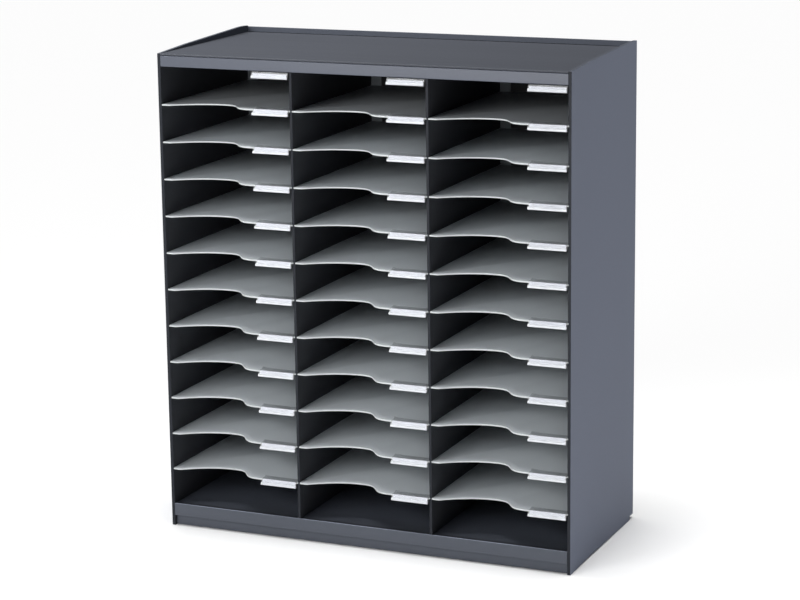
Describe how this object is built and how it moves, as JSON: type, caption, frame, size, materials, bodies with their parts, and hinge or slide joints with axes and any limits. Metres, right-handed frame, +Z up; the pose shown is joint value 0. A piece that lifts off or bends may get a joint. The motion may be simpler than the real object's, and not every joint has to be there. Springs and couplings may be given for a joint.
{
  "type": "pigeonhole mail sorter",
  "caption": "Free-standing pigeonhole mail sorter: a tall panel cabinet of side-by-side columns with removable sliding shelves, finger recesses and clear label holders.",
  "frame": {"origin": "middle of the footprint, label holders included, on the floor", "axes": "+Z up, -Y out of the open front, +X to the right as seen from the front"},
  "size_m": [0.686, 0.3144, 0.783],
  "materials": {
    "anthracite_plastic": "satin, fine grain",
    "dark_back": "matt",
    "grey_plastic": "satin",
    "clear_plastic": "clear, glossy",
    "label_paper": "uncoated white card"
  },
  "bodies": {
    "cabinet": {"side_panel_left": "anthracite_plastic", "side_panel_right": "anthracite_plastic", "divider_left_middle": "anthracite_plastic", "divider_middle_right": "anthracite_plastic", "top_panel": "anthracite_plastic", "top_front_rail": "anthracite_plastic", "top_rear_rail": "anthracite_plastic", "bottom_panel": "anthracite_plastic", "bottom_front_rail": "anthracite_plastic", "bottom_rear_rail": "anthracite_plastic", "plinth": "anthracite_plastic", "back_panel": "dark_back", "top_label_holder_left": "clear_plastic", "top_label_holder_middle": "clear_plastic", "top_label_holder_right": "clear_plastic", "top_label_card_left": "label_paper", "top_label_card_middle": "label_paper", "top_label_card_right": "label_paper"},
    "shelf_left_01": {"shelf_left_01": "grey_plastic"},
    "shelf_left_02": {"shelf_left_02": "grey_plastic"},
    "shelf_left_03": {"shelf_left_03": "grey_plastic"},
    "shelf_left_04": {"shelf_left_04": "grey_plastic"},
    "shelf_left_05": {"shelf_left_05": "grey_plastic"},
    "shelf_left_06": {"shelf_left_06": "grey_plastic"},
    "shelf_left_07": {"shelf_left_07": "grey_plastic"},
    "shelf_left_08": {"shelf_left_08": "grey_plastic"},
    "shelf_left_09": {"shelf_left_09": "grey_plastic"},
    "shelf_left_10": {"shelf_left_10": "grey_plastic"},
    "shelf_left_11": {"shelf_left_11": "grey_plastic"},
    "shelf_middle_01": {"shelf_middle_01": "grey_plastic"},
    "shelf_middle_02": {"shelf_middle_02": "grey_plastic"},
    "shelf_middle_03": {"shelf_middle_03": "grey_plastic"},
    "shelf_middle_04": {"shelf_middle_04": "grey_plastic"},
    "shelf_middle_05": {"shelf_middle_05": "grey_plastic"},
    "shelf_middle_06": {"shelf_middle_06": "grey_plastic"},
    "shelf_middle_07": {"shelf_middle_07": "grey_plastic"},
    "shelf_middle_08": {"shelf_middle_08": "grey_plastic"},
    "shelf_middle_09": {"shelf_middle_09": "grey_plastic"},
    "shelf_middle_10": {"shelf_middle_10": "grey_plastic"},
    "shelf_middle_11": {"shelf_middle_11": "grey_plastic"},
    "shelf_right_01": {"shelf_right_01": "grey_plastic"},
    "shelf_right_02": {"shelf_right_02": "grey_plastic"},
    "shelf_right_03": {"shelf_right_03": "grey_plastic"},
    "shelf_right_04": {"shelf_right_04": "grey_plastic"},
    "shelf_right_05": {"shelf_right_05": "grey_plastic"},
    "shelf_right_06": {"shelf_right_06": "grey_plastic"},
    "shelf_right_07": {"shelf_right_07": "grey_plastic"},
    "shelf_right_08": {"shelf_right_08": "grey_plastic"},
    "shelf_right_09": {"shelf_right_09": "grey_plastic"},
    "shelf_right_10": {"shelf_right_10": "grey_plastic"},
    "shelf_right_11": {"shelf_right_11": "grey_plastic"}
  },
  "joints": [
    {"name": "shelf_left_01_slide", "type": "slide", "parent": "cabinet", "child": "shelf_left_01", "axis": [0, -1, 0], "range_m": [0, 0.28]},
    {"name": "shelf_left_02_slide", "type": "slide", "parent": "cabinet", "child": "shelf_left_02", "axis": [0, -1, 0], "range_m": [0, 0.28]},
    {"name": "shelf_left_03_slide", "type": "slide", "parent": "cabinet", "child": "shelf_left_03", "axis": [0, -1, 0], "range_m": [0, 0.28]},
    {"name": "shelf_left_04_slide", "type": "slide", "parent": "cabinet", "child": "shelf_left_04", "axis": [0, -1, 0], "range_m": [0, 0.28]},
    {"name": "shelf_left_05_slide", "type": "slide", "parent": "cabinet", "child": "shelf_left_05", "axis": [0, -1, 0], "range_m": [0, 0.28]},
    {"name": "shelf_left_06_slide", "type": "slide", "parent": "cabinet", "child": "shelf_left_06", "axis": [0, -1, 0], "range_m": [0, 0.28]},
    {"name": "shelf_left_07_slide", "type": "slide", "parent": "cabinet", "child": "shelf_left_07", "axis": [0, -1, 0], "range_m": [0, 0.28]},
    {"name": "shelf_left_08_slide", "type": "slide", "parent": "cabinet", "child": "shelf_left_08", "axis": [0, -1, 0], "range_m": [0, 0.28]},
    {"name": "shelf_left_09_slide", "type": "slide", "parent": "cabinet", "child": "shelf_left_09", "axis": [0, -1, 0], "range_m": [0, 0.28]},
    {"name": "shelf_left_10_slide", "type": "slide", "parent": "cabinet", "child": "shelf_left_10", "axis": [0, -1, 0], "range_m": [0, 0.28]},
    {"name": "shelf_left_11_slide", "type": "slide", "parent": "cabinet", "child": "shelf_left_11", "axis": [0, -1, 0], "range_m": [0, 0.28]},
    {"name": "shelf_middle_01_slide", "type": "slide", "parent": "cabinet", "child": "shelf_middle_01", "axis": [0, -1, 0], "range_m": [0, 0.28]},
    {"name": "shelf_middle_02_slide", "type": "slide", "parent": "cabinet", "child": "shelf_middle_02", "axis": [0, -1, 0], "range_m": [0, 0.28]},
    {"name": "shelf_middle_03_slide", "type": "slide", "parent": "cabinet", "child": "shelf_middle_03", "axis": [0, -1, 0], "range_m": [0, 0.28]},
    {"name": "shelf_middle_04_slide", "type": "slide", "parent": "cabinet", "child": "shelf_middle_04", "axis": [0, -1, 0], "range_m": [0, 0.28]},
    {"name": "shelf_middle_05_slide", "type": "slide", "parent": "cabinet", "child": "shelf_middle_05", "axis": [0, -1, 0], "range_m": [0, 0.28]},
    {"name": "shelf_middle_06_slide", "type": "slide", "parent": "cabinet", "child": "shelf_middle_06", "axis": [0, -1, 0], "range_m": [0, 0.28]},
    {"name": "shelf_middle_07_slide", "type": "slide", "parent": "cabinet", "child": "shelf_middle_07", "axis": [0, -1, 0], "range_m": [0, 0.28]},
    {"name": "shelf_middle_08_slide", "type": "slide", "parent": "cabinet", "child": "shelf_middle_08", "axis": [0, -1, 0], "range_m": [0, 0.28]},
    {"name": "shelf_middle_09_slide", "type": "slide", "parent": "cabinet", "child": "shelf_middle_09", "axis": [0, -1, 0], "range_m": [0, 0.28]},
    {"name": "shelf_middle_10_slide", "type": "slide", "parent": "cabinet", "child": "shelf_middle_10", "axis": [0, -1, 0], "range_m": [0, 0.28]},
    {"name": "shelf_middle_11_slide", "type": "slide", "parent": "cabinet", "child": "shelf_middle_11", "axis": [0, -1, 0], "range_m": [0, 0.28]},
    {"name": "shelf_right_01_slide", "type": "slide", "parent": "cabinet", "child": "shelf_right_01", "axis": [0, -1, 0], "range_m": [0, 0.28]},
    {"name": "shelf_right_02_slide", "type": "slide", "parent": "cabinet", "child": "shelf_right_02", "axis": [0, -1, 0], "range_m": [0, 0.28]},
    {"name": "shelf_right_03_slide", "type": "slide", "parent": "cabinet", "child": "shelf_right_03", "axis": [0, -1, 0], "range_m": [0, 0.28]},
    {"name": "shelf_right_04_slide", "type": "slide", "parent": "cabinet", "child": "shelf_right_04", "axis": [0, -1, 0], "range_m": [0, 0.28]},
    {"name": "shelf_right_05_slide", "type": "slide", "parent": "cabinet", "child": "shelf_right_05", "axis": [0, -1, 0], "range_m": [0, 0.28]},
    {"name": "shelf_right_06_slide", "type": "slide", "parent": "cabinet", "child": "shelf_right_06", "axis": [0, -1, 0], "range_m": [0, 0.28]},
    {"name": "shelf_right_07_slide", "type": "slide", "parent": "cabinet", "child": "shelf_right_07", "axis": [0, -1, 0], "range_m": [0, 0.28]},
    {"name": "shelf_right_08_slide", "type": "slide", "parent": "cabinet", "child": "shelf_right_08", "axis": [0, -1, 0], "range_m": [0, 0.28]},
    {"name": "shelf_right_09_slide", "type": "slide", "parent": "cabinet", "child": "shelf_right_09", "axis": [0, -1, 0], "range_m": [0, 0.28]},
    {"name": "shelf_right_10_slide", "type": "slide", "parent": "cabinet", "child": "shelf_right_10", "axis": [0, -1, 0], "range_m": [0, 0.28]},
    {"name": "shelf_right_11_slide", "type": "slide", "parent": "cabinet", "child": "shelf_right_11", "axis": [0, -1, 0], "range_m": [0, 0.28]}
  ]
}
